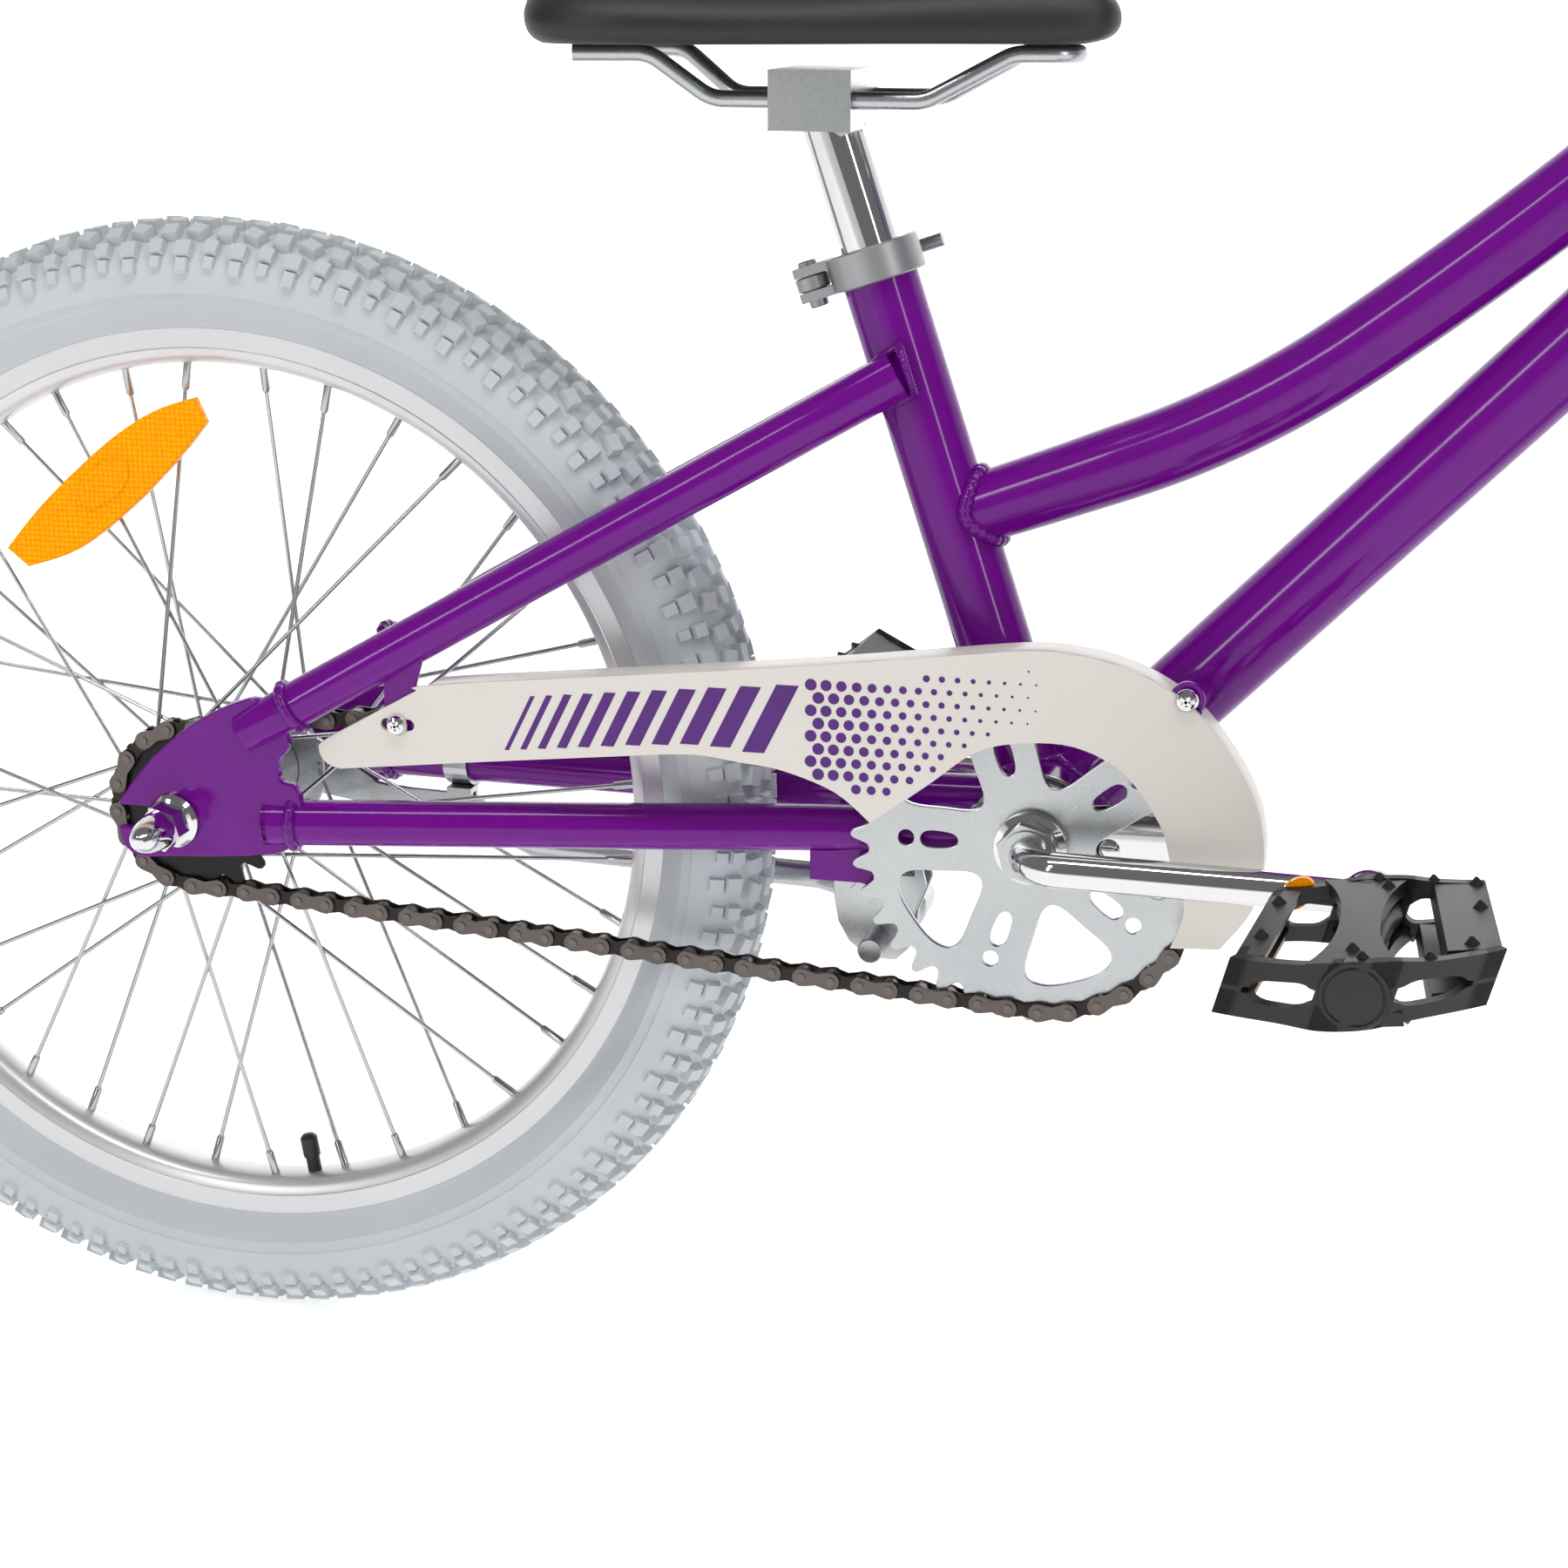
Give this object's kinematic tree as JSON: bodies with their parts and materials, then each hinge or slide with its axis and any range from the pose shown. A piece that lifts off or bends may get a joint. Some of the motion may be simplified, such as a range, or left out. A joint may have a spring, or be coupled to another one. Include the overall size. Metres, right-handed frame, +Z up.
{
  "type": "children's bicycle",
  "caption": "Small single-speed bicycle with coaster brake, curved top tube, chain guard, platform pedals, kickstand and turning wheels, cranks, fork and pedals.",
  "frame": {"origin": "on the ground midway between the two axles, in the bicycle's middle plane", "axes": "+X forward along the wheelbase, +Y to the rider's left so the drive side is at -Y, +Z up"},
  "size_m": [1.389, 0.5912, 0.8597],
  "materials": {
    "frame_paint": "gloss purple paint",
    "guard_plastic": "cream white moulded plastic",
    "tyre_rubber": "pale bluish white rubber",
    "rim_alloy": "silver alloy",
    "spoke_steel": "bright drawn wire",
    "chrome": "bright chrome plating",
    "zinc_steel": "zinc plated steel",
    "chain_steel": "dark oiled steel",
    "black_plastic": "matt black moulded plastic",
    "black_steel": "black finished steel",
    "grip_rubber": "soft matt black rubber",
    "saddle_cover": "black padded cover",
    "reflector": "clear amber moulding"
  },
  "bodies": {
    "frame": {"seat_tube": "frame_paint", "bottom_bracket_shell": "frame_paint", "down_tube": "frame_paint", "top_tube": "frame_paint", "head_tube": "frame_paint", "chainstay_right": "frame_paint", "chainstay_left": "frame_paint", "seatstay_right": "frame_paint", "seatstay_left": "frame_paint", "dropout_right": "frame_paint", "dropout_left": "frame_paint", "kickstand_plate": "frame_paint", "bearing_cup_right": "zinc_steel", "bearing_cup_left": "zinc_steel", "headset_cup_lower": "chrome", "headset_cup_upper": "chrome", "seat_clamp": "rim_alloy", "chain": "chain_steel", "chain_guard": "guard_plastic", "chain_guard_bracket": "chrome", "chain_guard_screw": "chrome", "brake_arm": "zinc_steel", "brake_arm_strap": "zinc_steel", "rear_axle": "zinc_steel", "rear_axle_nut_right": "chrome", "rear_axle_nut_left": "chrome", "kickstand_bracket": "zinc_steel"},
    "kickstand": {"kickstand_leg": "zinc_steel"},
    "seat": {"seat_post": "chrome", "saddle_clamp": "zinc_steel", "saddle_rails": "zinc_steel", "saddle": "saddle_cover"},
    "clamp_lever": {"seat_clamp_lever": "rim_alloy"},
    "steering": {"fork_steerer": "frame_paint", "fork_blade_right": "frame_paint", "fork_blade_left": "frame_paint", "stem": "rim_alloy", "handlebar": "chrome", "handlebar_crossbar": "chrome", "grip_right": "grip_rubber", "grip_left": "grip_rubber", "front_axle": "zinc_steel"},
    "front_wheel": {"front_tyre": "tyre_rubber", "front_rim": "rim_alloy", "front_hub": "zinc_steel", "front_spokes_right": "spoke_steel", "front_spokes_left": "spoke_steel"},
    "rear_wheel": {"rear_tyre": "tyre_rubber", "rear_rim": "rim_alloy", "rear_hub": "zinc_steel", "rear_spokes_right": "spoke_steel", "rear_spokes_left": "spoke_steel", "rear_reflector": "reflector"},
    "driver": {"rear_sprocket": "black_steel"},
    "crank": {"crank": "chrome", "chainring": "zinc_steel", "pedal_spindle_right": "zinc_steel", "pedal_spindle_left": "zinc_steel"},
    "pedal_right": {"pedal_right": "black_plastic"},
    "pedal_left": {"pedal_left": "black_plastic"}
  },
  "joints": [
    {"name": "rear_wheel_spin", "type": "hinge", "parent": "frame", "child": "rear_wheel", "pos_m": [-0.44, 0, 0.25445], "axis": [0, 1, 0], "continuous": true},
    {"name": "sprocket_spin", "type": "hinge", "parent": "frame", "child": "driver", "pos_m": [-0.44, 0, 0.25445], "axis": [0, 1, 0], "continuous": true},
    {"name": "crank_spin", "type": "hinge", "parent": "frame", "child": "crank", "pos_m": [-0.065, 0, 0.26445], "axis": [0, 1, 0], "continuous": true},
    {"name": "pedal_right_spin", "type": "hinge", "parent": "crank", "child": "pedal_right", "pos_m": [0.075, 0, 0.26445], "axis": [0, 1, 0], "continuous": true},
    {"name": "pedal_left_spin", "type": "hinge", "parent": "crank", "child": "pedal_left", "pos_m": [-0.205, 0, 0.26445], "axis": [0, 1, 0], "continuous": true},
    {"name": "steering_turn", "type": "hinge", "parent": "frame", "child": "steering", "pos_m": [0.26, 0, 0.59795], "axis": [-0.3665, 0, 0.9304], "range_deg": [-60, 60]},
    {"name": "front_wheel_spin", "type": "hinge", "parent": "steering", "child": "front_wheel", "pos_m": [0.44, 0, 0.25445], "axis": [0, 1, 0], "continuous": true},
    {"name": "kickstand_fold", "type": "hinge", "parent": "frame", "child": "kickstand", "pos_m": [-0.137, 0, 0.20645], "axis": [0, -1, 0], "range_deg": [0, 95]},
    {"name": "seat_height", "type": "slide", "parent": "frame", "child": "seat", "axis": [-0.3173, 0, 0.9483], "range_m": [-0.035, 0.08]},
    {"name": "clamp_lever_turn", "type": "hinge", "parent": "frame", "child": "clamp_lever", "pos_m": [-0.16672, 0, 0.48086], "axis": [-0.3173, 0, 0.9483], "range_deg": [0, 130]}
  ],
  "couplings": [
    {"joint": "sprocket_spin", "follows": "crank_spin", "ratio": 2}
  ]
}
